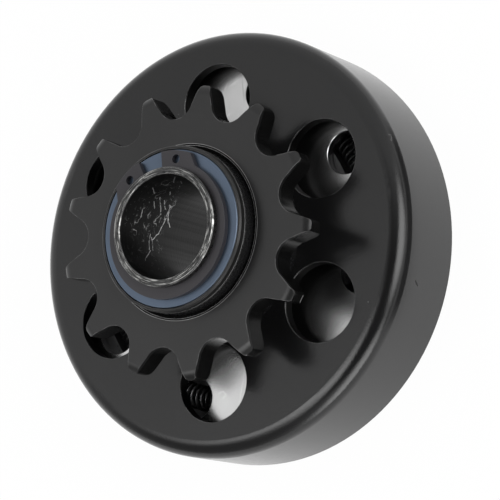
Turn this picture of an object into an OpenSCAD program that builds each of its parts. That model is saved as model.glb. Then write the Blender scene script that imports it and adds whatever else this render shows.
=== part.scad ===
// Centrifugal clutch with a chain sprocket, standing on the open rim of its drum.
// The axis of the clutch is Z, the rim stands on Z = 0 and the sprocket points up.
// Angles count from the gap between the last shoe and the first one.

/* [Drum] */
// Outer diameter of the drum
drum_d = 106; // [102:0.5:116]
// Depth of the drum, from the rim to the face
drum_h = 24; // [22.5:0.1:30]
// Thickness of the drum's sheet
drum_t = 3; // [2.4:0.1:3.6]
// Outer radius of the bend between face and wall
drum_bend_r = 4.1; // [3.8:0.1:6]
// Break of the edges of the rim
drum_edge = 0.4; // [0.2:0.1:0.8]
// Break of the edges of the round holes
hole_edge = 0.15; // [0.1:0.05:0.4]
// Number of round holes in the face
hole_n = 6; // [4:1:6]
// Distance between the round holes and the drum's outer wall
hole_rim_gap = 8.55; // [7.5:0.05:12]
// Distance between the round holes and the boss's shoulder
hole_foot_gap = 1.25; // [0.5:0.05:4]
// Angle of the first round hole
hole_turn = 7; // [0:1:59]

/* [Sprocket] */
// Number of teeth
teeth = 13; // [13:1:15]
// Pitch of the chain
chain_pitch = 15.875; // [15.5:0.025:16.2]
// Diameter of the chain's rollers
roller_d = 10.16; // [9.6:0.02:10.4]
// Gap between a roller and its seat
roller_play = 0.05; // [0.02:0.01:0.15]
// Angle of the round seat, each side of its lowest point
seat_angle = 62; // [54:1:66]
// Height of the tooth tips over the pitch circle
tooth_top = 2.8; // [2.2:0.05:3]
// Width of a tooth at its tip
tooth_tip_w = 2.5; // [1.6:0.1:3]
// Thickness of the sprocket
sprocket_t = 6.3; // [5.2:0.1:7.5]
// Break of the corners between a tooth's flanks and its tip
tooth_corner = 0.4; // [0.2:0.05:0.5]
// Length of the rounded relief of the tooth tips along the radius
relief_r = 2.2; // [1.8:0.1:3]
// Depth of that relief at the tip, on the front
relief_front = 0.9; // [0.6:0.1:1.8]
// Depth of that relief at the tip, on the side of the drum
relief_back = 1.8; // [0.6:0.1:1.8]
// Chamfer of the sprocket's hole at the front
seat_edge = 0.9; // [0.3:0.1:1]
// Space between the drum's face and the sprocket
sprocket_gap = 8; // [5:0.5:12]
// Angle of the first tooth
tooth_turn = -7; // [-13:1:13]

/* [Boss and bush] */
// Width of the boss's rim round the recess of the front washer
boss_rim_w = 0.8; // [0.6:0.05:1.6]
// Width of the boss's shoulder between drum and sprocket
shoulder_w = 3.8; // [2:0.1:5]
// Height of the boss above the sprocket
boss_stand = 5; // [3.5:0.1:8]
// Chamfer of the boss's rim
boss_edge = 0.3; // [0.1:0.1:0.4]
// Distance of the boss's turned line from its rim
line_down = 1.9; // [1.6:0.1:2.4]
// Width and depth of the turned line
line_w = 0.3; // [0.2:0.05:0.4]
// Wall of the bronze bush
bush_t = 2.5; // [1.5:0.1:2.8]
// Running clearance of the bush on the hub, along the radius
run_play = 0.05; // [0.03:0.01:0.08]
// Overhang of the collar that holds the boss in the drum
collar_w = 1.2; // [0.8:0.1:2]
// Thickness of that collar
collar_t = 1; // [0.8:0.1:2]

/* [Hub] */
// Diameter of the shaft bore
bore_d = 25.4; // [24:0.1:25.6]
// Wall of the hub where it carries the bush
hub_wall = 1.8; // [1.6:0.05:2.4]
// Step between the hub's front part and its thick rear part
hub_step = 4.5; // [4:0.1:6]
// Height of the hub's end above the boss
hub_stand = 3.1; // [2.6:0.1:5]
// Distance of the hub's rear end from the rim's plane
hub_rise = 0.8; // [0.4:0.1:1.2]
// Chamfer round the outside of both ends of the hub
hub_edge = 0.3; // [0.2:0.1:0.8]
// Chamfer of the bore's mouths
bore_edge = 0.15; // [0.1:0.05:0.4]
// Width of the keyway
key_w = 6.35; // [5:0.05:8]
// Depth of the keyway under the bore
key_depth = 2.95; // [2:0.05:3.5]
// Length of the hub that is left without keyway behind the guide plate's face
key_stop = 2; // [1:0.5:6]

/* [Driver] */
// Thickness of the guide plate
guide_t = 2.4; // [1.8:0.1:3]
// Gap between the guide plate's edge and the drum
guide_gap = 2; // [1:0.1:3]
// Number of round openings in the guide plate
opening_n = 8; // [4:4:8]
// Diameter of the round openings
opening_d = 10.5; // [8:0.1:12]
// Distance between the round openings and the guide plate's edge
opening_rim_gap = 3.9; // [2:0.1:6]
// Wall of the spider's middle round the hub
spider_wall = 2.5; // [2:0.1:4]
// Width of an arm of the spider
arm_w = 14; // [10:0.5:16]
// Distance by which the rear plate reaches over the shoes
rear_plate_lap = 12; // [8:0.5:16]
// Thickness of the rear plate
rear_plate_t = 1.6; // [1.2:0.1:2]
// Break of the edges of plates and washers
plate_edge = 0.3; // [0.1:0.1:0.4]

/* [Shoes] */
// Number of shoes
shoe_n = 4; // [4:1:4]
// Angle between the end faces of two shoes
shoe_gap_angle = 6; // [4:1:12]
// Thickness of a friction lining
lining_t = 3; // [2:0.1:4]
// Gap between lining and drum at rest
lining_gap = 1.1; // [1.1:0.1:1.6]
// Width of shoe that shows beside the lining at front and back
lining_inset = 0.6; // [0.2:0.1:1.5]
// Angle of shoe that shows past each end of the lining
lining_short = 2; // [0:0.5:4]
// Gap between a shoe and the plates, and between a shoe and its arm
slide_play = 0.2; // [0.1:0.05:0.3]
// Gap between a shoe at rest and the spider
seat_gap = 0.5; // [0.3:0.1:1]
// Chamfer of the shoes' long edges
shoe_edge = 0.5; // [0.2:0.1:1]
// Steel between a shoe's slot and its spring groove
web_t = 1.6; // [1:0.1:3]

/* [Garter spring] */
// Wall of the shoes between the spring's groove and their outer face
groove_wall = 4.4; // [3:0.1:6]
// Steel of the shoes under the spring's groove
groove_floor = 3.8; // [3:0.1:5]
// Gap between the coils and the shoes' groove
spring_gap = 0.3; // [0.3:0.05:0.5]

/* [Washers and circlips] */
// Distance by which the front washer reaches over the hub
front_washer_w = 4.7; // [4:0.1:6]
// Thickness of the front washer
front_washer_t = 1.1; // [0.8:0.1:1.5]
// Gap between the front washer and the rim of the boss
washer_gap = 0.2; // [0.2:0.05:0.4]
// Distance by which the rear washer reaches over the hub's front part
rear_washer_w = 6.5; // [5.5:0.1:8]
// Thickness of the rear washer
rear_washer_t = 2; // [1.5:0.1:2.5]
// End play of the drum along the axis
end_play = 0.3; // [0.1:0.1:0.4]
// Gap between a washer's hole and the hub
washer_play = 0.1; // [0.05:0.05:0.3]
// Thickness of both circlips
clip_t = 1.4; // [1.2:0.1:1.6]
// Depth of the circlip grooves in the hub
clip_groove = 0.7; // [0.5:0.05:0.9]
// Land of the hub behind the rear circlip
clip_land = 0.9; // [0.9:0.1:1.4]
// Distance by which the circlips sit to one side in their grooves
clip_play = 0.2; // [0.05:0.05:0.25]
// Width of the circlips opposite to their gap
clip_w = 3.2; // [2.6:0.1:3.6]
// Width of the circlips next to their lugs
clip_end_w = 2.2; // [1.8:0.1:2.6]
// Radial length of the circlips' lugs
lug_l = 4.8; // [4:0.1:5.2]
// Diameter of the plier holes in the lugs
lug_hole_d = 2.2; // [1.6:0.1:2.4]
// Distance of the plier holes from the circlips' inner edge
lug_hole_in = 2.7; // [2.4:0.1:3]
// Distance between the middles of the plier holes
lug_hole_gap = 14; // [12.5:0.1:14.5]
// Width of the gap between the lugs, measured at the plier holes
clip_gap = 6.1; // [4:0.1:7]
// Distance of a lug's foot from the middle line of the gap
lug_foot_y = 11.7; // [11.4:0.1:12]
// Distance of a lug's outer corner from that line
lug_end_y = 11.2; // [10:0.1:11.3]
// Angle of the front circlip's gap
clip_turn = -37; // [-180:1:180]

/* [Hidden] */
$fn = 96;
// Length by which cuts run past the faces that they open
over = 1;
// Depth at which a tooth's flank starts inside its round seat, so that the two cross cleanly
flank_in = 0.03;

// Heights, from the rim upwards
drum_inner_z = drum_h - drum_t;
sprocket_z = drum_h + sprocket_gap;
sprocket_top_z = sprocket_z + sprocket_t;
boss_top_z = sprocket_top_z + boss_stand;
boss_z = drum_inner_z - collar_t;
guide_top_z = boss_z - end_play - rear_washer_t;
guide_z = guide_top_z - guide_t;
hub_top_z = boss_top_z + hub_stand;
rear_clip_z = hub_rise + clip_land;
rear_plate_z = rear_clip_z + clip_t;
spider_z = rear_plate_z + rear_plate_t;
shoe_z = spider_z + slide_play;
shoe_top_z = guide_z - slide_play;

// Radii
drum_r = drum_d / 2;
drum_inner_r = drum_r - drum_t;
bore_r = bore_d / 2;
journal_r = bore_r + hub_wall;
hub_r = journal_r + hub_step;
bush_r = journal_r + run_play;
bush_outer_r = bush_r + bush_t;
front_washer_r = journal_r + front_washer_w;
recess_r = front_washer_r + washer_gap;
boss_r = recess_r + boss_rim_w;
shoulder_r = boss_r + shoulder_w;
hole_in_r = shoulder_r + hole_foot_gap;
hole_out_r = drum_r - hole_rim_gap;
hole_r = (hole_out_r - hole_in_r) / 2;
hole_ring_r = (hole_out_r + hole_in_r) / 2;
pitch_r = chain_pitch / (2 * sin(180 / teeth));
tip_r = pitch_r + tooth_top;
seat_r = roller_d / 2 + roller_play;
lining_r = drum_inner_r - lining_gap;
shoe_r = lining_r - lining_t;
spider_r = hub_r + spider_wall;
shoe_inner_r = spider_r + seat_gap;
guide_r = drum_inner_r - guide_gap;
groove_z = shoe_z + groove_floor;
groove_outer_r = shoe_r - groove_wall;
coil_r = (shoe_top_z - groove_z) / 2 - spring_gap;
spring_r = groove_outer_r - spring_gap - coil_r;
groove_inner_r = spring_r - coil_r - spring_gap;
slot_r = groove_inner_r - web_t;
arm_r = slot_r - slide_play;

// Angles
shoe_step = 360 / shoe_n;
shoe_span = shoe_step - shoe_gap_angle;
lining_span = shoe_span - 2 * lining_short;
opening_step = 360 / opening_n;
// The keyway lies behind the third arm, where the hub is backed by the most steel
key_turn = 2.5 * shoe_step;

// Ring with both outer edges broken, from z up to z + h
module ring(r_out, r_in, z, h, edge) {
    difference() {
        rotate_extrude()
            polygon([[r_in, z], [r_out - edge, z], [r_out, z + edge],
                [r_out, z + h - edge], [r_out - edge, z + h], [r_in, z + h]]);
        translate([0, 0, z - over]) cylinder(r = r_in, h = h + 2 * over);
    }
}

// Cut of a round hole with both edges broken, through a sheet from z up to z + h
module hole_cut(r, z, h, edge) {
    translate([0, 0, z - over]) cylinder(r = r, h = h + 2 * over);
    translate([0, 0, z + h - edge]) cylinder(r1 = r, r2 = r + edge + over, h = edge + over);
    translate([0, 0, z - over]) cylinder(r1 = r + edge + over, r2 = r, h = edge + over);
}

module drum() {
    inner_bend_r = drum_bend_r - drum_t;
    color([0.17, 0.17, 0.18])
    difference() {
        rotate_extrude()
            difference() {
                union() {
                    square([drum_r - drum_bend_r, drum_h]);
                    square([drum_r, drum_h - drum_bend_r]);
                    translate([drum_r - drum_bend_r, drum_h - drum_bend_r]) circle(drum_bend_r);
                }
                square([drum_inner_r - inner_bend_r, drum_inner_z]);
                square([drum_inner_r, drum_inner_z - inner_bend_r]);
                translate([drum_inner_r - inner_bend_r, drum_inner_z - inner_bend_r])
                    circle(inner_bend_r);
                polygon([[drum_r - drum_edge, 0], [drum_r + over, drum_edge + over],
                    [drum_r + over, -over], [drum_r - drum_edge - over, -over]]);
            }
        translate([0, 0, drum_inner_z - over]) cylinder(r = boss_r, h = drum_t + 2 * over);
        for (k = [0 : hole_n - 1])
            rotate([0, 0, hole_turn + k * 360 / hole_n]) translate([hole_ring_r, 0, 0])
                hole_cut(hole_r, drum_inner_z, drum_t, hole_edge);
    }
}

// Turned tube: shoulder on the drum, collar inside it, seat for the sprocket and a recessed rim
module boss() {
    line_z = boss_top_z - line_down;
    floor_z = boss_top_z - front_washer_t;
    collar_r = boss_r + collar_w;
    color([0.16, 0.16, 0.17])
    difference() {
        rotate_extrude()
            polygon([[bush_outer_r, boss_z], [collar_r, boss_z], [collar_r, drum_inner_z],
                [boss_r, drum_inner_z], [boss_r, drum_h], [shoulder_r, drum_h],
                [shoulder_r, sprocket_z], [boss_r, sprocket_z],
                [boss_r, line_z - line_w], [boss_r - line_w, line_z - line_w],
                [boss_r - line_w, line_z], [boss_r, line_z],
                [boss_r, boss_top_z - boss_edge], [boss_r - boss_edge, boss_top_z],
                [bush_outer_r, boss_top_z]]);
        translate([0, 0, boss_z - over])
            cylinder(r = bush_outer_r, h = boss_top_z - boss_z + 2 * over);
        translate([0, 0, floor_z - end_play])
            cylinder(r = recess_r, h = front_washer_t + end_play + over);
    }
}

// Space between two teeth, with its middle on the X axis
module tooth_space() {
    foot_r = seat_r - flank_in;
    tip_turn = 180 / teeth - asin(tooth_tip_w / 2 / tip_r);
    end_turn = 180 / teeth - asin((tooth_tip_w / 2 - tooth_corner) / tip_r);
    foot = [pitch_r - foot_r * cos(seat_angle), foot_r * sin(seat_angle)];
    tip = tip_r * [cos(tip_turn), sin(tip_turn)];
    corner = tip + (foot - tip) * tooth_corner / norm(foot - tip);
    end = tip_r * [cos(end_turn), sin(end_turn)];
    past = end + (end - corner) * over / norm(end - corner);
    far_x = tip_r + 2 * over;
    translate([pitch_r, 0]) circle(seat_r);
    polygon([[pitch_r, 0], foot, corner, past, [far_x, past[1]], [far_x, -past[1]],
        [past[0], -past[1]], [corner[0], -corner[1]], [foot[0], -foot[1]]]);
}

// Half section of the blank's edge, seen from a face at Z = 0: falls to depth at the tips
module relief(depth) {
    arc_r = (relief_r * relief_r + depth * depth) / (2 * depth);
    translate([0, -2 * sprocket_t]) square([tip_r - relief_r, 2 * sprocket_t]);
    intersection() {
        translate([0, -2 * sprocket_t]) square([tip_r, 2 * sprocket_t]);
        union() {
            translate([tip_r - relief_r, -arc_r]) circle(arc_r);
            translate([0, -2 * sprocket_t]) square([tip_r, 2 * sprocket_t - arc_r]);
        }
    }
}

module sprocket() {
    color([0.15, 0.15, 0.16])
    difference() {
        rotate_extrude()
            intersection() {
                translate([0, sprocket_top_z]) relief(relief_front);
                translate([0, sprocket_z]) mirror([0, 1]) relief(relief_back);
            }
        for (k = [0 : teeth - 1])
            rotate([0, 0, tooth_turn + (k + 0.5) * 360 / teeth])
                translate([0, 0, sprocket_z - over])
                    linear_extrude(sprocket_t + 2 * over) tooth_space();
        translate([0, 0, sprocket_z - over]) cylinder(r = boss_r, h = sprocket_t + 2 * over);
        translate([0, 0, sprocket_top_z - seat_edge])
            cylinder(r1 = boss_r, r2 = boss_r + seat_edge + over, h = seat_edge + over);
    }
}

module bushing() {
    color([0.72, 0.53, 0.28])
    ring(bush_outer_r, bush_r, boss_z, boss_top_z - front_washer_t - end_play - boss_z, 0);
}

// Outline of a circlip, its gap on the X axis: an off-centre ring with a lug each side of the gap
module clip_outline(r_in) {
    r_lug = r_in + lug_l;
    foot_r = r_in + clip_end_w;
    plier_r = r_in + lug_hole_in;
    half_gap = asin(clip_gap / 2 / plier_r);
    far_x = r_lug + 2 * over;
    foot = [sqrt(foot_r * foot_r - lug_foot_y * lug_foot_y), lug_foot_y];
    end = [sqrt(r_lug * r_lug - lug_end_y * lug_end_y), lug_end_y];
    past = end + (end - foot) * over / norm(end - foot);
    difference() {
        union() {
            translate([-(clip_w - clip_end_w) / 2, 0]) circle(r_in + (clip_w + clip_end_w) / 2);
            intersection() {
                circle(r_lug);
                polygon([[0, 0], foot, past, [far_x, past[1]], [far_x, -past[1]],
                    [past[0], -past[1]], [foot[0], -foot[1]]]);
            }
        }
        circle(r_in);
        polygon([[0, 0], [far_x, far_x * tan(half_gap)], [far_x, -far_x * tan(half_gap)]]);
        for (s = [-1, 1])
            translate([sqrt(plier_r * plier_r - lug_hole_gap * lug_hole_gap / 4),
                s * lug_hole_gap / 2]) circle(lug_hole_d / 2);
    }
}

// Circlip from z upwards in a groove of radius r
module circlip(r, z) {
    color([0.22, 0.20, 0.24])
    translate([0, 0, z]) rotate([0, 0, clip_turn]) translate([0, clip_play, 0])
        linear_extrude(clip_t) clip_outline(r + clip_play);
}

// Sleeve on the shaft: thick and keyed at the back, thin where the bush runs on it
module hub() {
    front_clip_z = boss_top_z;
    color([0.55, 0.54, 0.52])
    difference() {
        rotate_extrude()
            polygon([[0, hub_rise], [hub_r - hub_edge, hub_rise], [hub_r, hub_rise + hub_edge],
                [hub_r, rear_clip_z], [hub_r - clip_groove, rear_clip_z],
                [hub_r - clip_groove, rear_plate_z], [hub_r, rear_plate_z],
                [hub_r, guide_top_z], [journal_r, guide_top_z],
                [journal_r, front_clip_z], [journal_r - clip_groove, front_clip_z],
                [journal_r - clip_groove, front_clip_z + clip_t],
                [journal_r, front_clip_z + clip_t],
                [journal_r, hub_top_z - hub_edge], [journal_r - hub_edge, hub_top_z],
                [0, hub_top_z]]);
        hole_cut(bore_r, hub_rise, hub_top_z - hub_rise, bore_edge);
        rotate([0, 0, key_turn]) translate([0, -key_w / 2, hub_rise - over])
            cube([bore_r + key_depth, key_w, guide_top_z - key_stop - hub_rise + over]);
    }
}

module spider() {
    color([0.42, 0.42, 0.43])
    difference() {
        union() {
            translate([0, 0, spider_z]) cylinder(r = spider_r, h = guide_z - spider_z);
            intersection() {
                translate([0, 0, spider_z]) cylinder(r = arm_r, h = guide_z - spider_z);
                for (k = [0 : shoe_n - 1])
                    rotate([0, 0, (k + 0.5) * shoe_step]) translate([0, -arm_w / 2, spider_z])
                        cube([arm_r + over, arm_w, guide_z - spider_z]);
            }
        }
        translate([0, 0, spider_z - over]) cylinder(r = hub_r, h = guide_z - spider_z + 2 * over);
    }
}

module guide_plate() {
    color([0.74, 0.74, 0.73])
    difference() {
        ring(guide_r, hub_r, guide_z, guide_t, plate_edge);
        for (k = [0 : opening_n - 1])
            rotate([0, 0, (k + 0.5) * opening_step])
                translate([guide_r - opening_rim_gap - opening_d / 2, 0, 0])
                    hole_cut(opening_d / 2, guide_z, guide_t, plate_edge / 2);
    }
}

module rear_plate() {
    color([0.60, 0.60, 0.60])
    ring(shoe_inner_r + rear_plate_lap, hub_r, rear_plate_z, rear_plate_t, plate_edge);
}

module front_washer() {
    color([0.33, 0.40, 0.53])
    ring(front_washer_r, journal_r + washer_play, boss_top_z - front_washer_t,
        front_washer_t, plate_edge / 2);
}

module rear_washer() {
    color([0.45, 0.45, 0.46])
    ring(journal_r + rear_washer_w, journal_r + washer_play, guide_top_z, rear_washer_t,
        plate_edge);
}

module front_circlip() {
    circlip(journal_r - clip_groove, boss_top_z);
}

module rear_circlip() {
    circlip(hub_r - clip_groove, rear_clip_z);
}

// Shoe number k: a block between two arcs, with a slot for its arm and a groove for the spring
module shoe(k) {
    color([0.34, 0.34, 0.35])
    rotate([0, 0, (k - 0.5) * shoe_step])
    difference() {
        rotate([0, 0, -shoe_span / 2]) rotate_extrude(angle = shoe_span)
            polygon([[shoe_inner_r, shoe_z], [shoe_r - shoe_edge, shoe_z],
                [shoe_r, shoe_z + shoe_edge], [shoe_r, shoe_top_z - shoe_edge],
                [shoe_r - shoe_edge, shoe_top_z], [shoe_inner_r, shoe_top_z]]);
        translate([0, -arm_w / 2 - slide_play, shoe_z - over])
            cube([slot_r, arm_w + 2 * slide_play, shoe_top_z - shoe_z + 2 * over]);
        translate([0, 0, groove_z])
            difference() {
                cylinder(r = groove_outer_r, h = shoe_top_z - groove_z + over);
                translate([0, 0, -over])
                    cylinder(r = groove_inner_r, h = shoe_top_z - groove_z + 3 * over);
            }
    }
}

// Lining number k, bonded to the outside of its shoe
module lining(k) {
    color([0.36, 0.29, 0.22])
    rotate([0, 0, (k - 0.5) * shoe_step - lining_span / 2])
    rotate_extrude(angle = lining_span)
        polygon([[shoe_r, shoe_z + shoe_edge + lining_inset],
            [lining_r, shoe_z + shoe_edge + lining_inset],
            [lining_r, shoe_top_z - shoe_edge - lining_inset],
            [shoe_r, shoe_top_z - shoe_edge - lining_inset]]);
}

// Outer form of the coiled ring in the shoes' groove
module garter_spring() {
    color([0.30, 0.30, 0.31])
    rotate_extrude()
        translate([spring_r, shoe_top_z - spring_gap - coil_r]) circle(coil_r);
}

drum();
boss();
sprocket();
bushing();
hub();
spider();
guide_plate();
rear_plate();
front_washer();
rear_washer();
front_circlip();
rear_circlip();
shoe(1);  // shoe_1
shoe(2);  // shoe_2
shoe(3);  // shoe_3
shoe(4);  // shoe_4
lining(1);  // lining_1
lining(2);  // lining_2
lining(3);  // lining_3
lining(4);  // lining_4
garter_spring();
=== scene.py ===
"""Centrifugal clutch: finishes, coiled spring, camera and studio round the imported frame.

The clutch stands on the open rim of its drum, with the sprocket up. All sizes are in metres.
"""

import logging
import math
from dataclasses import dataclass, field
from enum import Enum

import bmesh
import bpy
from mathutils import Matrix, Vector


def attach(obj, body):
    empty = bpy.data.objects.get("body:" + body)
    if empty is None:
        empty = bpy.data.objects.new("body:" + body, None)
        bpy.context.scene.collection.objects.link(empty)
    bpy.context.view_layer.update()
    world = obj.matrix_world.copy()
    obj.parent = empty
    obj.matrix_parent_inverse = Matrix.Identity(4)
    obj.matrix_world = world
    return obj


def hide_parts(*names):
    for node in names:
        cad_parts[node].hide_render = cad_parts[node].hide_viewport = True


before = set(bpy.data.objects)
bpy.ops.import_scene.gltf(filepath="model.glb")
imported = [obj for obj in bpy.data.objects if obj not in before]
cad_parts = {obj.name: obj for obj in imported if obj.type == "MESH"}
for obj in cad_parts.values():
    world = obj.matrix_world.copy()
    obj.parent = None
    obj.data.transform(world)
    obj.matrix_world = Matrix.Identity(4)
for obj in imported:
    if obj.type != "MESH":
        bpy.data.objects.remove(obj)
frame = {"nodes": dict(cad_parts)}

LOG = logging.getLogger("clutch")
MM = 0.001
Colour = tuple[float, float, float]
Socket = bpy.types.NodeSocket
Feed = float | Colour | Socket

CLOUD_RANGE = (0.3, 0.7)
CLOUD_DETAIL, GRAIN_DETAIL = 4.0, 3.0
# The hairline seed and fade serve both scratches and painted glints.
CLOUD_SEED, GRAIN_SEED, HAIRLINE_SEED = 1.0, 2.0, 3.0
HAIRLINE_FADE = 0.12
# Scale and fade of the noise that breaks the edge lines of wear and painted highlight.
EDGE_BREAK_SCALE, EDGE_BREAK_FADE = 260.0, 0.08
WANDER_SCALE = 700.0
STROKE_CORE = 0.4


class Along(Enum):
    """The measure that a zone runs along: millimetres outwards or upwards, or degrees round the axis."""

    RADIUS = "Radius"
    HEIGHT = "Height"
    TURN = "Turn"

    def unit(self) -> float:
        """Returns what one millimetre or one degree of it is in the shader's own measure."""
        return 1 / 360 if self is Along.TURN else MM


class Sheet:
    """One node tree, with short ways to place its nodes and join them."""

    def __init__(self, tree: bpy.types.NodeTree) -> None:
        """Keeps the tree.

        Args:
            tree: The node tree that the nodes go into.
        """
        self.tree = tree

    def add(self, kind: str, feeds: dict[str | int, Feed] | None = None,
            **settings: object) -> bpy.types.Node:
        """Places one node.

        Args:
            kind: The node's type, without the word ShaderNode.
            feeds: A value or a socket for each named input.
            **settings: Properties of the node.

        Returns:
            The new node.
        """
        node = self.tree.nodes.new(kind if kind.startswith("NodeGroup") else "ShaderNode" + kind)
        for name, value in settings.items():
            setattr(node, name, value)
        for name, value in (feeds or {}).items():
            self.feed(node.inputs[name], value)
        return node

    def feed(self, target: Socket, value: Feed) -> None:
        """Joins a socket to an input, or sets the input's own value.

        Args:
            target: The input.
            value: A socket, a number or a colour.
        """
        if isinstance(value, bpy.types.NodeSocket):
            self.tree.links.new(value, target)
        elif isinstance(value, tuple) and target.type == "RGBA":
            target.default_value = (*value, 1.0)
        else:
            target.default_value = value

    def calc(self, operation: str, *values: Feed, clamp: bool = False) -> Socket:
        """Places a Math node.

        Args:
            operation: Its operation.
            *values: Its inputs in order.
            clamp: Whether the result stays from 0 to 1.

        Returns:
            Its result.
        """
        node = self.add("Math", dict(enumerate(values)), operation=operation, use_clamp=clamp)
        return node.outputs[0]

    def blend(self, share: Feed, first: Feed, second: Feed) -> Socket:
        """Mixes two colours.

        Args:
            share: Share of the second colour.
            first: First colour.
            second: Second colour.

        Returns:
            The mixed colour.
        """
        node = self.add("Mix", {0: share, 6: first, 7: second}, data_type="RGBA")
        return node.outputs[2]

    def span(self, value: Feed, low: Feed, high: Feed, to_low: Feed = 0.0, to_high: Feed = 1.0) -> Socket:
        """Maps one range of a value smoothly to another.

        Args:
            value: The value.
            low: Start of its range.
            high: End of its range.
            to_low: Result at the start.
            to_high: Result at the end.

        Returns:
            The mapped value.
        """
        feeds = {0: value, 1: low, 2: high, 3: to_low, 4: to_high}
        return self.add("MapRange", feeds, interpolation_type="SMOOTHSTEP").outputs[0]

    def towards(self, share: Feed, first: Feed, second: Feed) -> Socket:
        """Returns a number between two others, with the share of the second."""
        return self.calc("MULTIPLY_ADD", share, self.calc("SUBTRACT", second, first), first)

    def dot(self, first: Feed, second: Feed) -> Socket:
        """Returns the dot product of two vectors."""
        return self.add("VectorMath", {0: first, 1: second}, operation="DOT_PRODUCT").outputs["Value"]

    def minus(self, first: Feed, second: Feed) -> Socket:
        """Returns the first vector less the second."""
        return self.add("VectorMath", {0: first, 1: second}, operation="SUBTRACT").outputs[0]

    def scaled(self, vector: Feed, factor: Feed) -> Socket:
        """Returns a vector times a factor."""
        return self.add("VectorMath", {0: vector, "Scale": factor}, operation="SCALE").outputs[0]

    def noise(self, vector: Feed, seed: Feed, scale: Feed, detail: Feed) -> Socket:
        """Places a noise in space that a seed changes.

        Args:
            vector: Where it is read.
            seed: Its fourth measure.
            scale: Its scale.
            detail: Its detail.

        Returns:
            The noise, from 0 to 1.
        """
        feeds = {"Vector": vector, "W": seed, "Scale": scale, "Detail": detail}
        return self.add("TexNoise", feeds, noise_dimensions="4D").outputs[0]

    def effect(self, tree: bpy.types.NodeTree, feeds: dict[str, Feed]) -> bpy.types.Node:
        """Places a shared effect.

        Args:
            tree: The effect's node group.
            feeds: Its inputs.

        Returns:
            The group's node.
        """
        node = self.tree.nodes.new("ShaderNodeGroup")
        node.node_tree = tree
        for name, value in feeds.items():
            self.feed(node.inputs[name], value)
        return node


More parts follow.
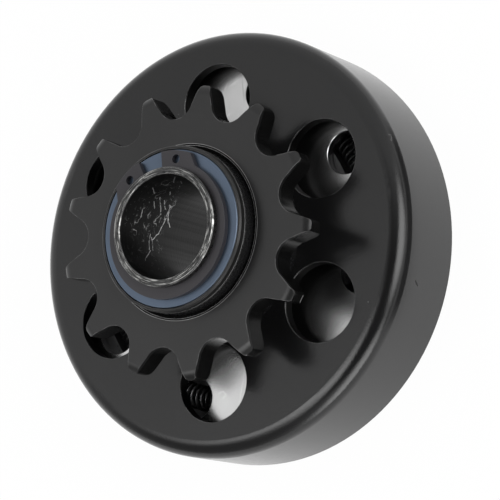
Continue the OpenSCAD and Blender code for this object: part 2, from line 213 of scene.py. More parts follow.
@dataclass
class Effects:
    """The shared effects: node groups that put out masks and values, each built once."""

    made: dict[str, bpy.types.NodeTree] = field(default_factory=dict)

    def open(self, name: str, inputs: dict[str, float | Colour],
             outputs: tuple[str, ...]) -> tuple[Sheet, bpy.types.Node, bpy.types.Node]:
        """Starts a group with named inputs and outputs.

        Args:
            name: The group's name.
            inputs: Its inputs with their usual values, numbers or vectors.
            outputs: Its outputs.

        Returns:
            The group's sheet, its input node and its output node.
        """
        tree = bpy.data.node_groups.new(name, "ShaderNodeTree")
        for title, value in inputs.items():
            kind = "NodeSocketVector" if isinstance(value, tuple) else "NodeSocketFloat"
            tree.interface.new_socket(title, in_out="INPUT", socket_type=kind).default_value = value
        for title in outputs:
            tree.interface.new_socket(title, in_out="OUTPUT", socket_type="NodeSocketFloat")
        self.made[name] = tree
        sheet = Sheet(tree)
        return sheet, sheet.add("NodeGroupInput"), sheet.add("NodeGroupOutput")

    def build(self) -> None:
        """Builds every effect."""
        self.build_place()
        self.build_band()
        self.build_side()
        self.build_grain()
        self.build_hairlines()
        self.build_specks()
        self.build_streaks()
        self.build_edges()
        self.build_stroke()

    def build_place(self) -> None:
        """Distance from the clutch's axis, height and angle of a point, in metres and turns."""
        sheet, _, end = self.open("place", {}, ("Radius", "Height", "Turn"))
        spot = sheet.add("TexCoord").outputs["Object"]
        parts = sheet.add("SeparateXYZ", {0: spot})
        square = sheet.calc("MULTIPLY", parts.outputs[0], parts.outputs[0])
        total = sheet.calc("MULTIPLY_ADD", parts.outputs[1], parts.outputs[1], square)
        sheet.feed(end.inputs["Radius"], sheet.calc("SQRT", total))
        sheet.feed(end.inputs["Height"], parts.outputs[2])
        angle = sheet.calc("ARCTAN2", parts.outputs[1], parts.outputs[0])
        sheet.feed(end.inputs["Turn"], sheet.calc("DIVIDE", angle, math.tau))

    def build_band(self) -> None:
        """Mask of the stretch where a value lies between two others."""
        sheet, start, end = self.open("band", {"Value": 0.0, "Low": 0.0, "High": 1.0, "Soft": 0.1}, ("Mask",))
        soft = start.outputs["Soft"]
        low_end = sheet.calc("ADD", start.outputs["Low"], soft)
        high_start = sheet.calc("SUBTRACT", start.outputs["High"], soft)
        rise = sheet.span(start.outputs["Value"], start.outputs["Low"], low_end)
        fall = sheet.span(start.outputs["Value"], high_start, start.outputs["High"], 1.0, 0.0)
        sheet.feed(end.inputs["Mask"], sheet.calc("MULTIPLY", rise, fall))

    def build_side(self) -> None:
        """Mask of all that lies beyond a soft sloping plane."""
        inputs = {"Direction": (0.0, 0.0, 1.0), "Low": 0.0, "High": 1.0}
        sheet, start, end = self.open("side", inputs, ("Mask",))
        spot = sheet.add("TexCoord").outputs["Object"]
        reach = sheet.dot(spot, start.outputs["Direction"])
        sheet.feed(end.inputs["Mask"], sheet.span(reach, start.outputs["Low"], start.outputs["High"]))

    def build_grain(self) -> None:
        """Even cloudy grain, from 0 to 1, with its own height for a bump."""
        inputs = {"Scale": 100.0, "Detail": GRAIN_DETAIL, "Seed": 0.0}
        sheet, start, end = self.open("grain", inputs, ("Value", "Height"))
        spot = sheet.add("TexCoord").outputs["Object"]
        noise = sheet.noise(spot, *(start.outputs[name] for name in ("Seed", "Scale", "Detail")))
        sheet.feed(end.inputs["Value"], sheet.span(noise, *CLOUD_RANGE))
        sheet.feed(end.inputs["Height"], noise)

    def build_hairlines(self) -> None:
        """Thin long lines that run one way, for scratches and painted glints."""
        inputs = {"Scale": 60.0, "Stretch": 12.0, "Angle": 0.0, "Width": 0.01, "Share": 0.5, "Seed": 0.0}
        sheet, start, end = self.open("hairlines", inputs, ("Mask",))
        spot = sheet.add("TexCoord").outputs["Object"]
        feeds = {"Vector": spot, "Angle": start.outputs["Angle"]}
        turned = sheet.add("VectorRotate", feeds, rotation_type="Z_AXIS").outputs[0]
        scales = sheet.add("CombineXYZ", {0: start.outputs["Stretch"], 1: 1.0, 2: 1.0}).outputs[0]
        pulled = sheet.add("VectorMath", {0: turned, 1: scales}, operation="DIVIDE").outputs[0]
        seed, scale = start.outputs["Seed"], start.outputs["Scale"]
        off = sheet.calc("ABSOLUTE", sheet.calc("SUBTRACT", sheet.noise(pulled, seed, scale, 2.0), 0.5))
        line = sheet.span(off, 0.0, start.outputs["Width"], 1.0, 0.0)
        broad = sheet.noise(spot, seed, scale, 1.0)
        floor = sheet.calc("SUBTRACT", 1.0, start.outputs["Share"])
        keep = sheet.span(broad, floor, sheet.calc("ADD", floor, HAIRLINE_FADE))
        sheet.feed(end.inputs["Mask"], sheet.calc("MULTIPLY", line, keep))

    def build_specks(self) -> None:
        """Small separate dots of dust or bare metal."""
        sheet, start, end = self.open("specks", {"Scale": 300.0, "Size": 0.2, "Share": 0.05}, ("Mask",))
        spot = sheet.add("TexCoord").outputs["Object"]
        cells = sheet.add("TexVoronoi", {"Vector": spot, "Scale": start.outputs["Scale"]})
        dot = sheet.span(cells.outputs["Distance"], 0.0, start.outputs["Size"], 1.0, 0.0)
        chance = sheet.add("SeparateColor", {0: cells.outputs["Color"]}).outputs[0]
        chosen = sheet.calc("LESS_THAN", chance, start.outputs["Share"])
        sheet.feed(end.inputs["Mask"], sheet.calc("MULTIPLY", dot, chosen))

    def build_streaks(self) -> None:
        """Noise that is stretched round the axis, outwards or upwards, without a seam."""
        inputs = {"Around": 10.0, "Out": 100.0, "Up": 100.0, "Low": 0.4, "High": 0.6, "Seed": 0.0}
        sheet, start, end = self.open("streaks", inputs, ("Mask", "Height"))
        place = sheet.effect(self.made["place"], {})
        angle = sheet.calc("MULTIPLY", place.outputs["Turn"], math.tau)
        around = start.outputs["Around"]
        legs = [sheet.calc("MULTIPLY", sheet.calc(wave, angle), around) for wave in ("COSINE", "SINE")]
        out = sheet.calc("MULTIPLY", place.outputs["Radius"], start.outputs["Out"])
        up = sheet.calc("MULTIPLY_ADD", place.outputs["Height"], start.outputs["Up"], start.outputs["Seed"])
        spot = sheet.add("CombineXYZ", {0: legs[0], 1: legs[1], 2: out}).outputs[0]
        noise = sheet.noise(spot, up, 1.0, 2.0)
        sheet.feed(end.inputs["Mask"], sheet.span(noise, start.outputs["Low"], start.outputs["High"]))
        sheet.feed(end.inputs["Height"], noise)

    def build_edges(self) -> None:
        """Mask of the edges of a solid, broken into longer and shorter lines."""
        inputs = {"Radius": 0.2 * MM, "Low": 0.03, "High": 0.25, "Share": 0.6}
        sheet, start, end = self.open("edges", inputs, ("Mask",))
        rounded = sheet.add("Bevel", {"Radius": start.outputs["Radius"]}, samples=6).outputs[0]
        flat = sheet.add("NewGeometry").outputs["Normal"]
        off = sheet.calc("SUBTRACT", 1.0, sheet.dot(rounded, flat))
        line = sheet.span(off, start.outputs["Low"], start.outputs["High"])
        spot = sheet.add("TexCoord").outputs["Object"]
        noise = sheet.add("TexNoise", {"Vector": spot, "Scale": EDGE_BREAK_SCALE, "Detail": 3.0}).outputs[0]
        floor = sheet.calc("SUBTRACT", 1.0, start.outputs["Share"])
        fade = [sheet.calc(way, floor, EDGE_BREAK_FADE) for way in ("SUBTRACT", "ADD")]
        keep = sheet.span(noise, *fade)
        sheet.feed(end.inputs["Mask"], sheet.calc("MULTIPLY", line, keep))

    def build_stroke(self) -> None:
        """Mask of a thin line between two points, straight but for its wander; it draws scratches and painted
        glints.
        """
        inputs = {"From": (0.0, 0.0, 0.0), "To": (MM, 0.0, 0.0), "Width": 0.1 * MM, "Wander": 0.6 * MM}
        sheet, start, end = self.open("stroke", inputs, ("Mask",))
        spot = sheet.add("TexCoord").outputs["Object"]
        origin = start.outputs["From"]
        noise = sheet.add("TexNoise", {"Vector": spot, "Scale": WANDER_SCALE, "Detail": 2.0}).outputs["Color"]
        shift = sheet.scaled(sheet.minus(noise, (0.5, 0.5, 0.5)), start.outputs["Wander"])
        spot = sheet.add("VectorMath", {0: spot, 1: shift}, operation="ADD").outputs[0]
        along = sheet.minus(start.outputs["To"], origin)
        offset = sheet.minus(spot, origin)
        share = sheet.calc("DIVIDE", sheet.dot(offset, along), sheet.dot(along, along), clamp=True)
        step = sheet.scaled(along, share)
        away = sheet.add("VectorMath", {0: offset, 1: step}, operation="DISTANCE").outputs["Value"]
        near = sheet.calc("MULTIPLY", start.outputs["Width"], STROKE_CORE)
        sheet.feed(end.inputs["Mask"], sheet.span(away, near, start.outputs["Width"], 1.0, 0.0))


@dataclass
class Surface:
    """A material while it is being built: its sheet, the effects and the place of a point."""

    sheet: Sheet
    effects: Effects
    place: bpy.types.Node

    def effect(self, name: str, feeds: dict[str, Feed], output: str = "Mask") -> Socket:
        """Places a shared effect.

        Args:
            name: The effect's name.
            feeds: Its inputs.
            output: The output that is wanted.

        Returns:
            That output.
        """
        return self.sheet.effect(self.effects.made[name], feeds).outputs[output]


@dataclass(frozen=True)
class Zone:
    """A stretch of a surface between two radii, heights or angles."""

    along: Along
    low: float
    high: float
    soft: float = 0.1

    def mask(self, surface: Surface) -> Socket:
        """Returns the mask of the stretch."""
        unit = self.along.unit()
        feeds = {"Value": surface.place.outputs[self.along.value], "Low": self.low * unit,
                 "High": self.high * unit, "Soft": self.soft * unit}
        return surface.effect("band", feeds)


@dataclass(frozen=True)
class Side:
    """The part of a surface on one side of a soft sloping plane, in millimetres."""

    direction: Colour
    low: float
    high: float

    def mask(self, surface: Surface) -> Socket:
        """Returns the mask of that part."""
        feeds = {"Direction": self.direction, "Low": self.low * MM, "High": self.high * MM}
        return surface.effect("side", feeds)


@dataclass(frozen=True, kw_only=True)
class Mark:
    """A layer of a finish: what a surface turns into inside some zones."""

    colour: Colour
    roughness: float | None = None
    metallic: float | None = None
    strength: float = 1.0
    zones: tuple[Zone | Side, ...] = ()

    def shape(self, surface: Surface) -> Feed:
        """Returns the layer's own pattern, before its zones."""
        return 1.0

    def mask(self, surface: Surface) -> Socket:
        """Returns the layer's whole mask."""
        mask = surface.sheet.calc("MULTIPLY", self.shape(surface), self.strength)
        for zone in self.zones:
            mask = surface.sheet.calc("MULTIPLY", mask, zone.mask(surface))
        return mask


@dataclass(frozen=True, kw_only=True)
class Hairlines(Mark):
    """Thin straight scratches across the axis, in one or more directions, also used for painted glints."""

    scale: float = 90.0
    stretch: float = 12.0
    angles: tuple[float, ...] = (0.3,)
    width: float = 0.01
    share: float = 0.5

    def shape(self, surface: Surface) -> Feed:
        """Returns the scratches and painted glints of all directions."""
        mask: Feed = 0.0
        for index, angle in enumerate(self.angles):
            feeds = {"Scale": self.scale, "Stretch": self.stretch, "Angle": angle, "Width": self.width,
                     "Share": self.share, "Seed": HAIRLINE_SEED + index}
            mask = surface.sheet.calc("MAXIMUM", mask, surface.effect("hairlines", feeds))
        return mask


@dataclass(frozen=True, kw_only=True)
class Specks(Mark):
    """Small separate dots of dust, dirt or bare metal."""

    scale: float = 500.0
    size: float = 0.25
    share: float = 0.03

    def shape(self, surface: Surface) -> Feed:
        """Returns the dots."""
        return surface.effect("specks", {"Scale": self.scale, "Size": self.size, "Share": self.share})


@dataclass(frozen=True, kw_only=True)
class Streaks(Mark):
    """Streaks that follow the turned form: counts round the axis and per metre outwards and upwards."""

    around: float = 10.0
    out: float = 100.0
    up: float = 100.0
    low: float = 0.4
    high: float = 0.6
    seed: float = 0.0

    def runs(self) -> dict[str, Feed]:
        """Returns how the streaks run, as inputs of their effect."""
        return {"Around": self.around, "Out": self.out, "Up": self.up, "Seed": self.seed}

    def shape(self, surface: Surface) -> Feed:
        """Returns the streaks."""
        return surface.effect("streaks", {**self.runs(), "Low": self.low, "High": self.high})


@dataclass(frozen=True, kw_only=True)
class Edges(Mark):
    """Wear and painted highlights along the edges of a solid; in a dark colour, painted shade on them."""

    radius: float = 0.3
    low: float = 0.02
    high: float = 0.14
    share: float = 0.55

    def shape(self, surface: Surface) -> Feed:
        """Returns the edge lines."""
        feeds = {"Radius": self.radius * MM, "Low": self.low, "High": self.high, "Share": self.share}
        return surface.effect("edges", feeds)


@dataclass(frozen=True, kw_only=True)
class Strokes(Mark):
    """Single scratches and painted glints through points, each given by its turn in degrees and its height or
    radius.

    A line on a wall keeps its radius and one on a flat face keeps its height, given by kept.
    """

    paths: tuple[tuple[tuple[float, float], ...], ...]
    kept: float
    on: Along = Along.RADIUS
    width: float = 0.12
    wander: float = 0.3

    def spot(self, point: tuple[float, float]) -> Colour:
        """Returns where a point of a line lies, in metres."""
        turn = math.radians(point[0])
        radius, height = (self.kept, point[1]) if self.on is Along.RADIUS else (point[1], self.kept)
        return radius * MM * math.cos(turn), radius * MM * math.sin(turn), height * MM

    def shape(self, surface: Surface) -> Feed:
        """Returns the lines: scratches and painted glints."""
        mask: Feed = 0.0
        for path in self.paths:
            for start, end in zip(path, path[1:]):
                feeds = {"From": self.spot(start), "To": self.spot(end), "Width": self.width * MM,
                         "Wander": self.wander * MM}
                mask = surface.sheet.calc("MAXIMUM", mask, surface.effect("stroke", feeds))
        return mask


@dataclass(frozen=True)
class Finish:
    """One finish of the clutch: a base with cloudy shade and grain, and its marks in order."""

    name: str
    colour: Colour
    roughness: float
    metallic: float = 0.0
    shade: Colour | None = None
    shade_scale: float = 60.0
    rough_span: float = 0.06
    grain_scale: float = 900.0
    grain_depth: float = 0.02
    turning: Streaks | None = None
    turning_depth: float = 0.02
    marks: tuple[Mark, ...] = ()

    def make(self, effects: Effects) -> bpy.types.Material:
        """Builds the finish.

        Args:
            effects: The shared effects.

        Returns:
            The material.
        """
        material = bpy.data.materials.new(self.name)
        material.use_nodes = True
        sheet = Sheet(material.node_tree)
        principled = material.node_tree.nodes["Principled BSDF"]
        surface = Surface(sheet, effects, sheet.effect(effects.made["place"], {}))
        feeds = {"Scale": self.shade_scale, "Detail": CLOUD_DETAIL, "Seed": CLOUD_SEED}
        cloud = surface.effect("grain", feeds, "Value")
        feeds = {"Scale": self.grain_scale, "Detail": GRAIN_DETAIL, "Seed": GRAIN_SEED}
        grain = sheet.effect(effects.made["grain"], feeds)
        colour: Feed = self.colour if self.shade is None else sheet.blend(cloud, self.colour, self.shade)
        smoothest = self.roughness - self.rough_span / 2
        rough: Feed = sheet.calc("MULTIPLY_ADD", grain.outputs["Value"], self.rough_span, smoothest)
        metal: Feed = self.metallic
        for mark in self.marks:
            mask = mark.mask(surface)
            colour = sheet.blend(mask, colour, mark.colour)
            if mark.roughness is not None:
                rough = sheet.towards(mask, rough, mark.roughness)
            if mark.metallic is not None:
                metal = sheet.towards(mask, metal, mark.metallic)
        height = sheet.calc("MULTIPLY", grain.outputs["Height"], self.grain_depth)
        if self.turning is not None:
            lines = surface.effect("streaks", self.turning.runs(), "Height")
            height = sheet.calc("MULTIPLY_ADD", lines, self.turning_depth, height)
        bump = sheet.add("Bump", {"Height": height, "Distance": MM}).outputs[0]
        results = {"Base Color": colour, "Roughness": rough, "Metallic": metal, "Normal": bump}
        for name, value in results.items():
            sheet.feed(principled.inputs[name], value)
        return material


UP, OUT, TURN = Along.HEIGHT, Along.RADIUS, Along.TURN

DRUM_R, BEND_R, DRUM_TOP = 53.0, 52.5, 24.0
PLATE_TOP, SPROCKET_TOP = 17.7, 38.3
BORE_R, HUB_TOP = 12.7, 46.4
BORE_SLOPE = (1.8, 0.16, 1.0)

HOLE_WALLS = (Zone(UP, DRUM_TOP - 3.1, DRUM_TOP - 0.05, 0.05), Zone(OUT, 20.0, 45.5, 0.3))
DRUM_FACE = (Zone(UP, DRUM_TOP - 0.5, DRUM_TOP + 0.5, 0.1), Zone(OUT, 22.0, 46.0, 0.5))
TOOTH_FLANKS = (Zone(UP, 31.0, SPROCKET_TOP - 0.7, 0.5),)
TOOTH_EDGES = (Zone(UP, 36.0, SPROCKET_TOP + 0.2, 0.3),)
SPROCKET_FACE = Zone(UP, SPROCKET_TOP - 0.3, SPROCKET_TOP + 0.3, 0.1)
SEAT_CHAMFER = (Zone(OUT, 19.0, 21.0, 0.1), Zone(UP, 37.0, SPROCKET_TOP + 0.3, 0.1))
INNER_FOOT_LINE = (Zone(OUT, 21.0, 21.14, 0.03), SPROCKET_FACE)
FOOT_GROOVE = (Zone(OUT, 21.12, 21.52, 0.04), SPROCKET_FACE)
OUTER_FOOT_LINE = (Zone(OUT, 21.5, 21.62, 0.03), SPROCKET_FACE)
BOSS_RIM = (Zone(UP, 41.55, 43.35, 0.05),)
BOSS_RIM_LINE = (Zone(UP, 41.4, 41.62, 0.07),)
BOSS_ABOVE_SPROCKET = (Zone(UP, 37.0, 44.0, 0.3),)
BORE = Zone(OUT, -1.0, BORE_R + 0.2, 0.05)
# Bore zones: painted shade above a sloping plane, and the stretch where painted glints lie.
PAINTED_DARK_BORE = (BORE, Side(BORE_SLOPE, 51.2, 53.2))
PAINTED_GLINTS = (BORE, Side(BORE_SLOPE, 50.0, 52.5), Zone(UP, 26.0, 42.5, 1.5), Zone(TURN, -62.0, 45.0, 12.0))
HUB_END = (Zone(OUT, BORE_R - 0.05, 15.0, 0.05), Zone(UP, HUB_TOP - 0.5, HUB_TOP + 0.6, 0.1))
HUB_EDGES = (Zone(UP, 44.7, HUB_TOP + 0.6, 0.1),)

WALL_DASH = (((-157, 15.6), (-158, 14.3)),)
BEND_NICK = (((-118.5, 22.3), (-118.7, 21.5), (-119.5, 21.5), (-120.4, 21.9)),)
PLATE_LINES = (
    ((-177, 30.1), (-170, 32.2)),
    ((-178, 31.8), (-179.8, 34.3)),
    ((123, 36.9), (125, 36.3), (126.5, 37.2), (125, 38.0)),
)
# Paths of painted glints in the bore.
PAINTED_BORE_GLINTS = (
    ((36, 32.6), (28, 30.3), (20, 29.6), (14, 29.2), (3, 29.3), (-6, 29.9)),
    ((31, 33.5), (40, 33.9), (49, 34.2)),
    ((34, 33.0), (42, 32.5), (50, 32.6)),
    ((50, 33.8), (57, 35.6), (64, 37.4)),
    ((-55, 42), (-49, 40.6), (-44, 39.2), (-40, 38)),
    ((-48, 37.4), (-43, 35.6)),
    ((-24, 34.6), (-19, 33.6)),
    ((-37, 34.4), (-33, 33.6)),
    ((-22, 41.5), (-15, 39)),
    ((-12, 36), (-3, 33.6), (7, 31.6)),
    ((-10, 33.6), (0, 31)),
    ((8, 28.3), (18, 26.2)),
    ((3, 29), (14, 27.6)),
    ((8, 39.2), (16, 38.8)),
    ((-6, 37), (2, 35.2)),
)


def grey(level: float) -> Colour:
    """Returns the grey of one level."""
    return level, level, level


def turned(count: float) -> Streaks:
    """Returns fine turning lines, so many to the metre outwards and upwards, for a bump."""
    return Streaks(colour=grey(0.0), around=1.0, out=count, up=count)


BLACK_DRUM = Finish(
    "satin_black_coat", (0.0060, 0.0060, 0.0063), 0.165, shade=(0.0076, 0.0076, 0.0078),
    shade_scale=25.0, rough_span=0.03, grain_scale=2600.0, grain_depth=0.03,
    marks=(
        # Painted shade on the walls of the drum's holes: near black and without gloss.
        Mark(colour=grey(0.002), roughness=0.5, metallic=1.0, zones=HOLE_WALLS),
        # Edge lines on the face: partly worn paint, partly painted highlight.
        Edges(colour=grey(0.30), strength=0.6, zones=DRUM_FACE),
        Specks(colour=grey(0.16), scale=240.0, size=0.06, share=0.03),
        Strokes(colour=grey(0.001), roughness=0.6, width=0.35, kept=DRUM_R, paths=WALL_DASH),
        Strokes(colour=grey(0.05), roughness=0.4, width=0.3, kept=BEND_R, paths=BEND_NICK),
    ))
BLACK_OXIDE = Finish(
    "black_oxide", (0.0058, 0.0058, 0.0060), 0.30, shade=(0.0080, 0.0080, 0.0081),
    shade_scale=90.0, rough_span=0.05, grain_scale=1800.0, grain_depth=0.004,
    marks=(
        # Painted shade: the tooth flanks are darker and glossier than the face.
        Mark(colour=grey(0.005), roughness=0.25, metallic=0.45, strength=0.95, zones=TOOTH_FLANKS),
        Streaks(colour=grey(0.004), strength=0.5, around=2.0, out=900.0, up=0.0, low=0.5, high=0.75),
        # Edge lines of the teeth: partly wear, partly painted highlight.
        Edges(colour=grey(0.42), roughness=0.3, metallic=0.4, strength=0.42, share=0.52, zones=TOOTH_EDGES),
        Mark(colour=grey(0.010), roughness=0.25, zones=SEAT_CHAMFER),
        # Painted shade in the groove round the boss's foot, and painted highlights along its two edges.
        Mark(colour=grey(0.001), roughness=0.4, metallic=0.8, zones=FOOT_GROOVE),
        Mark(colour=grey(0.60), roughness=0.3, metallic=0.6, strength=0.7, zones=INNER_FOOT_LINE),
        Mark(colour=grey(0.60), roughness=0.3, metallic=0.6, strength=0.6, zones=OUTER_FOOT_LINE),
        Specks(colour=grey(0.25), scale=300.0, size=0.07, share=0.03),
    ))
BOSS_BLACK = Finish(
    "turned_black", (0.006, 0.006, 0.0063), 0.26, rough_span=0.08, grain_scale=1200.0, grain_depth=0.006,
    turning=Streaks(colour=grey(0.0), around=0.6, out=1500.0, up=1500.0), turning_depth=0.005,
    marks=(
        Mark(colour=grey(0.010), roughness=0.4, metallic=0.35, strength=0.9, zones=BOSS_RIM),
        # A painted highlight line round the boss below its rim; the edge lines below are partly wear, partly
        # painted highlight.
        Mark(colour=grey(0.50), roughness=0.35, metallic=0.6, strength=0.6, zones=BOSS_RIM_LINE),
        Edges(colour=grey(0.45), roughness=0.3, metallic=0.5, strength=0.3, radius=0.2,
              zones=BOSS_ABOVE_SPROCKET),
        Specks(colour=grey(0.3), scale=500.0, size=0.12, share=0.04),
    ))
BRONZE = Finish(
    "oiled_bronze", (0.42, 0.26, 0.11), 0.34, 1.0, shade=(0.30, 0.19, 0.09), turning=turned(2500.0))
HUB_STEEL = Finish(
    "turned_steel", (0.14, 0.138, 0.135), 0.3, 1.0, shade=(0.10, 0.098, 0.096), rough_span=0.12,
    turning=turned(3000.0), turning_depth=0.03,
    marks=(
        Mark(colour=grey(0.031), roughness=0.35, zones=(BORE,)),
        Streaks(colour=grey(0.020), around=12.0, out=0.0, up=4.0, low=0.38, high=0.66, zones=(BORE,)),
        # Painted shade: above a sloping plane the bore is near black, standing in for the dark that its wall
        # mirrors.
        Mark(colour=grey(0.003), roughness=0.3, metallic=0.8, zones=PAINTED_DARK_BORE),
        # Painted glints in the bore: bright hairlines and single strokes.
        Hairlines(colour=grey(0.7), roughness=0.35, scale=330.0, stretch=1.0, angles=(0.0, 1.2),
                  width=0.022, share=0.5, strength=0.85, zones=PAINTED_GLINTS),
        Hairlines(colour=grey(0.3), roughness=0.35, scale=620.0, stretch=1.0, angles=(0.5,),
                  width=0.02, share=0.5, strength=0.5, zones=(BORE, Zone(UP, 28.0, 45.5, 1.0))),
        Strokes(colour=grey(0.75), roughness=0.4, width=0.16, wander=0.7, kept=BORE_R, paths=PAINTED_BORE_GLINTS),
        Mark(colour=grey(0.062), roughness=0.35, zones=HUB_END),
        # Turning scratches on the end ring, painted bright and dark as sheen.
        Streaks(colour=(0.60, 0.60, 0.58), roughness=0.3, around=3.0, out=4200.0, up=0.0,
                low=0.5, high=0.66, strength=0.75, zones=HUB_END),
        Streaks(colour=grey(0.02), roughness=0.5, around=12.0, out=2400.0, up=0.0,
                low=0.5, high=0.62, strength=0.7, zones=HUB_END, seed=9.0),
        # Edge lines of the hub's end: partly wear, partly painted highlight.
        Edges(colour=grey(0.6), strength=0.6, share=0.6, zones=HUB_EDGES),
    ))
SPIDER_STEEL = Finish(
    "forged_steel", (0.20, 0.20, 0.202), 0.42, 1.0, shade=grey(0.14), grain_scale=500.0, grain_depth=0.05)
GROUND_STEEL = Finish(
    "ground_steel", grey(0.66), 0.23, 1.0, shade=grey(0.58), shade_scale=60.0, rough_span=0.02,
    grain_scale=2600.0, grain_depth=0.001,
    marks=(
        Hairlines(colour=(0.85, 0.85, 0.84), roughness=0.2, strength=0.5, angles=(0.4, 2.1, 1.2),
                  share=0.45, width=0.006),
        Hairlines(colour=grey(0.25), strength=0.4, angles=(2.6, 0.9), share=0.4, width=0.005, scale=70.0),
        Strokes(colour=grey(0.9), roughness=0.3, strength=0.4, width=0.16, wander=0.1, kept=PLATE_TOP,
                on=UP, paths=PLATE_LINES),
        # Painted shade on the edges of the openings: dark and rough, so they show no highlight.
        Edges(colour=grey(0.06), roughness=0.6, strength=0.9, radius=0.2, share=0.95),
    ))
PLATE_STEEL = Finish(
    "rolled_steel", grey(0.45), 0.33, 1.0, shade=grey(0.34),
    marks=(Hairlines(colour=grey(0.6), strength=0.5, angles=(0.1, 1.9), share=0.45),))
BLUED_STEEL = Finish(
    "blued_steel", (0.100, 0.130, 0.178), 0.36, 0.9, shade=(0.092, 0.118, 0.160),
    shade_scale=150.0, rough_span=0.03, grain_scale=2600.0, grain_depth=0.006,
    # Edge lines: partly wear, partly painted highlight.
    marks=(Edges(colour=(0.35, 0.37, 0.40), strength=0.4, radius=0.12),))
SPRING_STEEL = Finish(
    "phosphated_steel", (0.034, 0.032, 0.036), 0.4, 0.4, shade=(0.040, 0.038, 0.042),
    rough_span=0.04, grain_scale=2200.0, grain_depth=0.006,
    marks=(
        # Edge lines: partly wear, partly painted highlight.
        Edges(colour=(0.20, 0.20, 0.21), strength=0.4, radius=0.12),
        Specks(colour=grey(0.3), scale=500.0, size=0.08, share=0.04),
    ))
WIRE_STEEL = Finish(
    "spring_wire", grey(0.30), 0.42, 0.9, shade=(0.23, 0.23, 0.235), grain_depth=0.01)
SHOE_STEEL = Finish(
    "sintered_steel", (0.14, 0.14, 0.142), 0.5, 0.8, shade=(0.09, 0.09, 0.092),
    grain_scale=700.0, grain_depth=0.06,
    marks=(Specks(colour=grey(0.02), scale=900.0, size=0.3, share=0.3),))
LINING = Finish(
    "bonded_lining", (0.10, 0.075, 0.055), 0.75, shade=(0.06, 0.05, 0.045),
    grain_scale=600.0, grain_depth=0.1,
    marks=(Specks(colour=(0.28, 0.22, 0.12), scale=900.0, size=0.35, share=0.4),))


@dataclass
class Workshop:
    """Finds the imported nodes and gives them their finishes, each made once."""

    nodes: dict[str, bpy.types.Object]
    effects: Effects
    made: dict[str, bpy.types.Material] = field(default_factory=dict)

    def finish(self, finish: Finish) -> bpy.types.Material:
        """Returns the material of a finish, and makes it at its first use."""
        if finish.name not in self.made:
            self.made[finish.name] = finish.make(self.effects)
        return self.made[finish.name]

    def dress(self, piece: bpy.types.Object, finish: Finish) -> None:
        """Puts one finish on a piece.

        Args:
            piece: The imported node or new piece.
            finish: Its finish.
        """
        piece.data.materials.clear()
        piece.data.materials.append(self.finish(finish))
        LOG.info("%s: %s", piece.name, finish.name)

    def dress_all(self, finishes: dict[str, Finish]) -> None:
        """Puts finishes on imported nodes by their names."""
        for name, finish in finishes.items():
            self.dress(self.nodes[name], finish)


@dataclass
class DrumAssembly:
    """Drum, boss, sprocket and bush, which turn together."""

    shop: Workshop

    def build(self) -> None:
        """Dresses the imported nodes."""
        self.shop.dress_all({
            "drum": BLACK_DRUM, "boss": BOSS_BLACK, "sprocket": BLACK_OXIDE, "bushing": BRONZE,
        })


@dataclass
class Driver:
    """Hub, spider, plates, washers and circlips, which turn with the shaft."""

    shop: Workshop

    def build(self) -> None:
        """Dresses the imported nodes."""
        self.shop.dress_all({
            "hub": HUB_STEEL, "spider": SPIDER_STEEL, "guide_plate": GROUND_STEEL, "rear_plate": PLATE_STEEL,
            "front_washer": BLUED_STEEL, "rear_washer": SPRING_STEEL, "front_circlip": SPRING_STEEL,
            "rear_circlip": SPRING_STEEL,
        })


@dataclass
class Shoes:
    """The four shoes with their bonded linings."""

    shop: Workshop
    count: int = 4

    def build(self) -> None:
        """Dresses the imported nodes."""
        for number in range(1, self.count + 1):
            self.shop.dress_all({f"shoe_{number}": SHOE_STEEL, f"lining_{number}": LINING})


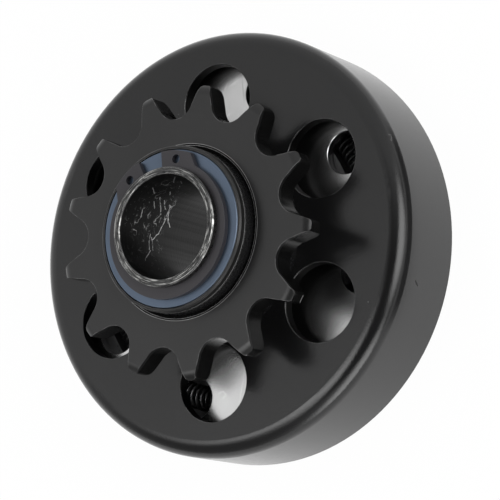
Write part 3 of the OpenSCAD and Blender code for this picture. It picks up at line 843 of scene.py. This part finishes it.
@dataclass
class GarterSpring:
    """The coiled spring round the shoes, in four lengths that each move with a shoe."""

    shop: Workshop
    ring_r: float = 38.3 * MM
    coil_r: float = 2.9 * MM
    height: float = 11.9 * MM
    wire_r: float = 0.6 * MM
    turns: int = 40
    steps: int = 14
    sides: int = 6
    count: int = 4

    def build(self) -> None:
        """Makes the four lengths of coil and lets each ride on its shoe."""
        for number in range(1, self.count + 1):
            piece = self.coil(number)
            self.shop.dress(piece, WIRE_STEEL)
            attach(piece, f"shoe_{number}_assembly")
            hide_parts("garter_spring")

    def coil(self, number: int) -> bpy.types.Object:
        """Makes one length of coil.

        Args:
            number: Number of the shoe that it lies on.

        Returns:
            The new object.
        """
        work = bmesh.new()
        self.wind(work)
        self.bend(work, (number - 1) * math.tau / self.count)
        bmesh.ops.recalc_face_normals(work, faces=work.faces)
        for face in work.faces:
            face.smooth = True
        mesh = bpy.data.meshes.new(f"garter_coil_{number}")
        work.to_mesh(mesh)
        work.free()
        piece = bpy.data.objects.new(mesh.name, mesh)
        bpy.context.scene.collection.objects.link(piece)
        return piece

    def wind(self, work: bmesh.types.BMesh) -> None:
        """Winds the wire straight along Y, as a spun circle with closed ends."""
        length = math.tau * self.ring_r / self.count
        across = Matrix.Translation((self.coil_r - self.wire_r, 0, 0)) @ Matrix.Rotation(math.pi / 2, 4, "X")
        profile = bmesh.ops.create_circle(work, segments=self.sides, radius=self.wire_r, matrix=across)
        edges = list({edge for vert in profile["verts"] for edge in vert.link_edges})
        total = self.turns * self.steps
        bmesh.ops.spin(work, geom=profile["verts"] + edges, cent=(0, 0, 0), axis=(0, 1, 0),
                       dvec=Vector((0, length / total, 0)), angle=math.tau * self.turns, steps=total,
                       use_merge=False)
        open_ends = [edge for edge in work.edges if edge.is_boundary]
        bmesh.ops.holes_fill(work, edges=open_ends, sides=self.sides)

    def bend(self, work: bmesh.types.BMesh, start: float) -> None:
        """Bends the straight coil round the clutch's axis.

        Args:
            work: The coil.
            start: Angle at which it starts.
        """
        for vert in work.verts:
            angle = start + vert.co.y / self.ring_r
            radius = self.ring_r + vert.co.x
            vert.co = (radius * math.cos(angle), radius * math.sin(angle), self.height + vert.co.z)


@dataclass(frozen=True)
class Patch:
    """A soft round part of the surroundings that shows in gloss, by its direction."""

    azimuth: float
    elevation: float
    inner: float
    outer: float
    level: float

    def direction(self) -> Vector:
        """Returns the direction of its middle."""
        turn, rise = math.radians(self.azimuth), math.radians(self.elevation)
        return Vector((math.cos(turn) * math.cos(rise), math.sin(turn) * math.cos(rise), math.sin(rise)))


@dataclass
class Studio:
    """Camera, white surroundings and pale floor."""

    effects: Effects

    lens: float = 174.2
    sensor: float = 36.0
    clip: tuple[float, float] = (0.01, 20.0)
    place: Colour = (-0.324446, -0.111836, 0.507066)
    right: Colour = (-0.66215077, -0.5136121, -0.54567295)
    up: Colour = (0.52384858, -0.83794927, 0.15304797)
    shift: float = 0.001
    floor_r: float = 4.0
    floor_drop: float = 0.2 * MM
    floor_white: Colour = (0.97, 0.97, 0.97)
    floor_share: float = 0.97
    # Painted shade on the floor near the clutch, seen only in gloss: its zones and its tone.
    painted_gloss_shade: tuple[Zone, ...] = (Zone(Along.RADIUS, 64.5, 150.0, 3.0), Zone(Along.TURN, -178.0, -98.0, 16.0))
    painted_gloss_shade_tone: Colour = (0.12, 0.12, 0.12)
    patches: tuple[Patch, ...] = (
        Patch(226.0, 67.0, 44.0, 46.0, 0.02),
        Patch(-142.0, -17.0, 29.0, 46.0, 0.18),
        Patch(160.0, 7.0, 4.0, 32.0, 4.6),
        Patch(-144.0, 20.0, 13.0, 31.0, 1.5),
        Patch(80.0, 61.0, 11.0, 25.0, 6.5),
        Patch(-22.0, 44.0, 26.0, 32.0, 0.72),
        Patch(-65.0, 31.0, 20.0, 55.0, 0.75),
        Patch(92.0, 30.0, 9.0, 56.0, 0.22),
        Patch(-138.0, 29.0, 4.0, 28.0, 4.4),
        Patch(191.0, -3.0, 8.0, 19.0, 0.34),
    )

    def build(self) -> None:
        """Sets up the whole studio."""
        self.build_camera()
        self.build_room()
        self.build_floor()
        bpy.context.scene.view_settings.view_transform = "Standard"

    def build_camera(self) -> None:
        """Places the camera where the photograph was taken from."""
        data = bpy.data.cameras.new("photo_camera")
        data.lens, data.sensor_width = self.lens, self.sensor
        data.clip_start, data.clip_end = self.clip
        data.shift_x, data.shift_y = -self.shift, self.shift
        camera = bpy.data.objects.new("photo_camera", data)
        back = Vector(self.right).cross(Vector(self.up))
        turn = Matrix((self.right, self.up, back)).transposed()
        camera.matrix_world = Matrix.Translation(self.place) @ turn.to_4x4()
        bpy.context.scene.collection.objects.link(camera)
        bpy.context.scene.camera = camera

    def build_room(self) -> None:
        """White surroundings, with soft dark and bright parts that light and gloss show."""
        world = bpy.data.worlds.new("white_room")
        bpy.context.scene.world = world
        world.use_nodes = True
        tree = world.node_tree
        tree.nodes.clear()
        sheet = Sheet(tree)
        heading = sheet.add("TexCoord").outputs["Generated"]
        level: Feed = 1.0
        for patch in self.patches:
            facing = sheet.dot(heading, tuple(patch.direction()))
            low, high = (math.cos(math.radians(reach)) for reach in (patch.outer, patch.inner))
            level = sheet.towards(sheet.span(facing, low, high), level, patch.level)
        rays = sheet.add("LightPath")
        seen = sheet.calc("MAXIMUM", rays.outputs["Is Camera Ray"], rays.outputs["Is Transmission Ray"])
        strength = sheet.towards(seen, level, 1.0)
        background = sheet.add("Background", {"Color": (1.0, 1.0, 1.0), "Strength": strength})
        out = sheet.add("OutputWorld", {"Surface": background.outputs[0]})
        out.is_active_output = True

    def build_floor(self) -> None:
        """A white floor that keeps a faint shadow of the clutch."""
        work = bmesh.new()
        lowered = Matrix.Translation((0, 0, -self.floor_drop))
        bmesh.ops.create_circle(work, cap_ends=True, segments=64, radius=self.floor_r, matrix=lowered)
        mesh = bpy.data.meshes.new("floor")
        work.to_mesh(mesh)
        work.free()
        floor = bpy.data.objects.new("floor", mesh)
        bpy.context.scene.collection.objects.link(floor)
        material = bpy.data.materials.new("white_floor")
        material.use_nodes = True
        tree = material.node_tree
        sheet = Sheet(tree)
        surface = tree.nodes["Principled BSDF"]
        surface.inputs["Base Color"].default_value = (*self.floor_white, 1.0)
        surface.inputs["Roughness"].default_value = 0.9
        surface.inputs["Specular IOR Level"].default_value = 0.0
        rays = sheet.add("LightPath")
        glow = sheet.add("Emission", {"Color": self.floor_tone(sheet, rays), "Strength": 1.0})
        seen = sheet.calc("MAXIMUM", rays.outputs["Is Camera Ray"], rays.outputs["Is Glossy Ray"])
        share = sheet.calc("MULTIPLY", seen, self.floor_share)
        mixed = sheet.add("MixShader", {0: share, 1: surface.outputs[0], 2: glow.outputs[0]})
        sheet.feed(tree.nodes["Material Output"].inputs["Surface"], mixed.outputs[0])
        floor.data.materials.append(material)

    def floor_tone(self, sheet: Sheet, rays: bpy.types.Node) -> Socket:
        """Makes the floor's tone: white, but for soft painted shade near the clutch that only gloss shows, a
        painted reflection of darker surroundings.

        Args:
            sheet: The floor's sheet.
            rays: Its Light Path node.

        Returns:
            The tone.
        """
        surface = Surface(sheet, self.effects, sheet.effect(self.effects.made["place"], {}))
        mask: Socket = rays.outputs["Is Glossy Ray"]
        for zone in self.painted_gloss_shade:
            mask = sheet.calc("MULTIPLY", mask, zone.mask(surface))
        return sheet.blend(mask, (1.0, 1.0, 1.0), self.painted_gloss_shade_tone)


def main() -> None:
    """Builds the assemblies and the studio in order."""
    logging.basicConfig(level=logging.INFO, format="%(name)s: %(message)s")
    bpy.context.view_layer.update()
    effects = Effects()
    effects.build()
    shop = Workshop(frame["nodes"], effects)
    for part in (DrumAssembly(shop), Driver(shop), Shoes(shop), GarterSpring(shop), Studio(effects)):
        LOG.info("building %s", type(part).__name__)
        part.build()


if __name__ == "__main__":
    main()
